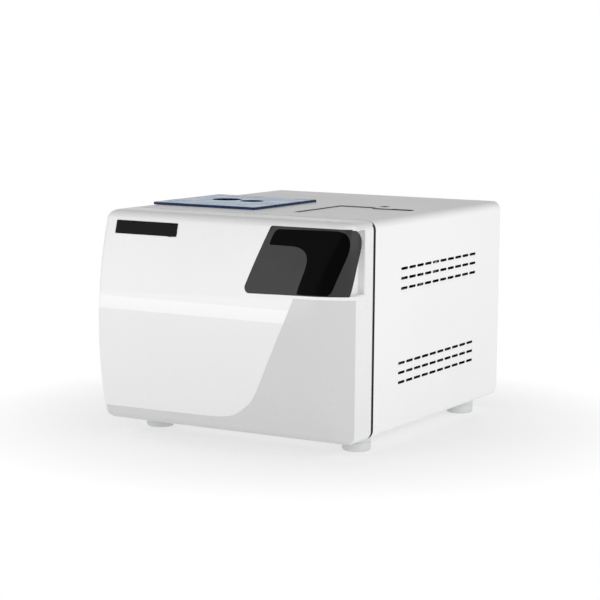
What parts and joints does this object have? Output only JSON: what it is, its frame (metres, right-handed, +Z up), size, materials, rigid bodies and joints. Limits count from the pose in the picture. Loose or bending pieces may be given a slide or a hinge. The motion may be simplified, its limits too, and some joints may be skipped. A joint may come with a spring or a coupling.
{
  "type": "benchtop autoclave",
  "caption": "Benchtop steam steriliser with a side-hinged door, round pressure chamber, sliding trays, lift-off tank lid and printer hatch.",
  "frame": {"origin": "on the bench plane, under the centre of the machine's bounding box", "axes": "+X to the right seen from the front, -Y out of the front door, +Z up"},
  "size_m": [0.48, 0.605, 0.3885],
  "materials": {
    "painted_shell": "satin powder coat",
    "painted_panel": "satin powder coat",
    "white_cover": "gloss moulded",
    "grey_inlay": "gloss printed",
    "lens": "smoked gloss",
    "window": "high gloss",
    "badge": "gloss",
    "grip": "fine texture",
    "inner_white": "fine texture",
    "lid_blue": "tinted clear",
    "tank": "natural moulded",
    "foot": "moulded",
    "screw": "zinc plated",
    "galvanised": "galvanised",
    "stainless": "brushed stainless",
    "polished": "polished stainless",
    "heater": "mica band",
    "blanket": "glass-fibre felt",
    "float": "foam",
    "dark": "moulded",
    "paper": "thermal paper",
    "rubber": "matt",
    "alloy": "die cast",
    "motor": "enamel",
    "copper": "copper and aluminium",
    "pcb": "solder mask",
    "brass": "turned",
    "filter": "moulded",
    "knob_blue": "moulded",
    "knob_grey": "moulded",
    "rocker": "moulded",
    "silicone": "silicone"
  },
  "bodies": {
    "machine": {"case_shell": "painted_shell", "base_tray": "galvanised", "rear_panel": "painted_panel", "front_frame": "painted_panel", "case_screws": "screw", "feet": "foot", "foot_screws": "screw", "chamber_vessel": "stainless", "band_heaters": "heater", "chamber_insulation": "blanket", "chamber_cradle": "galvanised", "tray_rack": "polished", "water_tank": "tank", "float_stem": "stainless", "printer_housing": "dark", "vacuum_pump": "alloy", "pump_motor": "motor", "solenoid_valves": "dark", "steam_generator": "stainless", "condenser": "copper", "fan_frame": "dark", "main_board": "pcb", "power_inlet": "dark", "safety_valve": "brass", "outlet_stubs": "brass", "air_filter": "filter", "drain_taps": "alloy", "rocker_frame": "dark", "hinge_arms": "galvanised", "lock_body": "alloy", "hoses": "silicone"},
    "door": {"hinge_pins": "screw", "door_carrier": "galvanised", "pressure_disc": "stainless", "door_gasket": "silicone", "centre_nut": "screw", "door_cover": "white_cover", "inner_panel": "inner_white", "fascia_inlay": "grey_inlay", "lens_surround": "lens", "display_window": "window", "display_board": "pcb", "grip_liner": "grip", "badge_plate": "badge", "door_catch": "galvanised"},
    "tray_top": {"tray_top": "stainless"},
    "tray_middle": {"tray_middle": "stainless"},
    "tray_bottom": {"tray_bottom": "stainless"},
    "tank_lid": {"tank_lid": "lid_blue"},
    "water_float": {"water_float": "float"},
    "printer_lid": {"printer_lid": "painted_shell"},
    "paper_roll": {"paper_roll": "paper"},
    "platen_roller": {"platen_roller": "rubber"},
    "fan_rotor": {"fan_rotor": "dark"},
    "safety_ring": {"safety_ring": "polished"},
    "tap_knob_clean": {"tap_knob_clean": "knob_blue"},
    "tap_knob_used": {"tap_knob_used": "knob_grey"},
    "power_rocker": {"power_rocker": "rocker"},
    "lock_bolt": {"lock_bolt": "polished"}
  },
  "joints": [
    {"name": "door_hinge", "type": "hinge", "parent": "machine", "child": "door", "pos_m": [-0.227, -0.2415, 0.194], "axis": [0, 0, -1], "range_deg": [0, 95]},
    {"name": "tray_top_slide", "type": "slide", "parent": "machine", "child": "tray_top", "axis": [0, -1, 0], "range_m": [0, 0.1]},
    {"name": "tray_middle_slide", "type": "slide", "parent": "machine", "child": "tray_middle", "axis": [0, -1, 0], "range_m": [0, 0.15]},
    {"name": "tray_bottom_slide", "type": "slide", "parent": "machine", "child": "tray_bottom", "axis": [0, -1, 0], "range_m": [0, 0.2]},
    {"name": "lock_bolt_slide", "type": "slide", "parent": "machine", "child": "lock_bolt", "axis": [1, 0, 0], "range_m": [0, 0.02]},
    {"name": "tank_lid_lift", "type": "slide", "parent": "machine", "child": "tank_lid", "axis": [0, 0, 1], "range_m": [0, 0.08]},
    {"name": "water_float_rise", "type": "slide", "parent": "machine", "child": "water_float", "axis": [0, 0, 1], "range_m": [0, 0.19]},
    {"name": "printer_lid_hinge", "type": "hinge", "parent": "machine", "child": "printer_lid", "pos_m": [0.126, -0.13, 0.3784], "axis": [1, 0, 0], "range_deg": [0, 100]},
    {"name": "paper_roll_spin", "type": "hinge", "parent": "machine", "child": "paper_roll", "pos_m": [0.177, -0.0875, 0.35], "axis": [1, 0, 0], "continuous": true},
    {"name": "platen_spin", "type": "hinge", "parent": "machine", "child": "platen_roller", "pos_m": [0.177, -0.0025, 0.37], "axis": [1, 0, 0], "continuous": true},
    {"name": "fan_spin", "type": "hinge", "parent": "machine", "child": "fan_rotor", "pos_m": [0.086, 0.2645, 0.276], "axis": [0, 1, 0], "continuous": true},
    {"name": "safety_ring_pull", "type": "slide", "parent": "machine", "child": "safety_ring", "axis": [0, 1, 0], "range_m": [0, 0.003], "stiffness_N_per_m": 200},
    {"name": "clean_tap_turn", "type": "hinge", "parent": "machine", "child": "tap_knob_clean", "pos_m": [0.15, -0.2255, 0.11], "axis": [0, 1, 0], "range_deg": [0, 90]},
    {"name": "used_tap_turn", "type": "hinge", "parent": "machine", "child": "tap_knob_used", "pos_m": [0.15, -0.2255, 0.066], "axis": [0, 1, 0], "range_deg": [0, 90]},
    {"name": "power_switch", "type": "hinge", "parent": "machine", "child": "power_rocker", "pos_m": [0.205, -0.2025, 0.086], "axis": [1, 0, 0], "range_deg": [0, 20]}
  ],
  "couplings": [
    {"joint": "tray_top_slide", "follows": "door_hinge", "m_per_rad": 0.06},
    {"joint": "tray_middle_slide", "follows": "door_hinge", "m_per_rad": 0.09},
    {"joint": "tray_bottom_slide", "follows": "door_hinge", "m_per_rad": 0.12},
    {"joint": "platen_spin", "follows": "paper_roll_spin", "ratio": -3.3333}
  ]
}
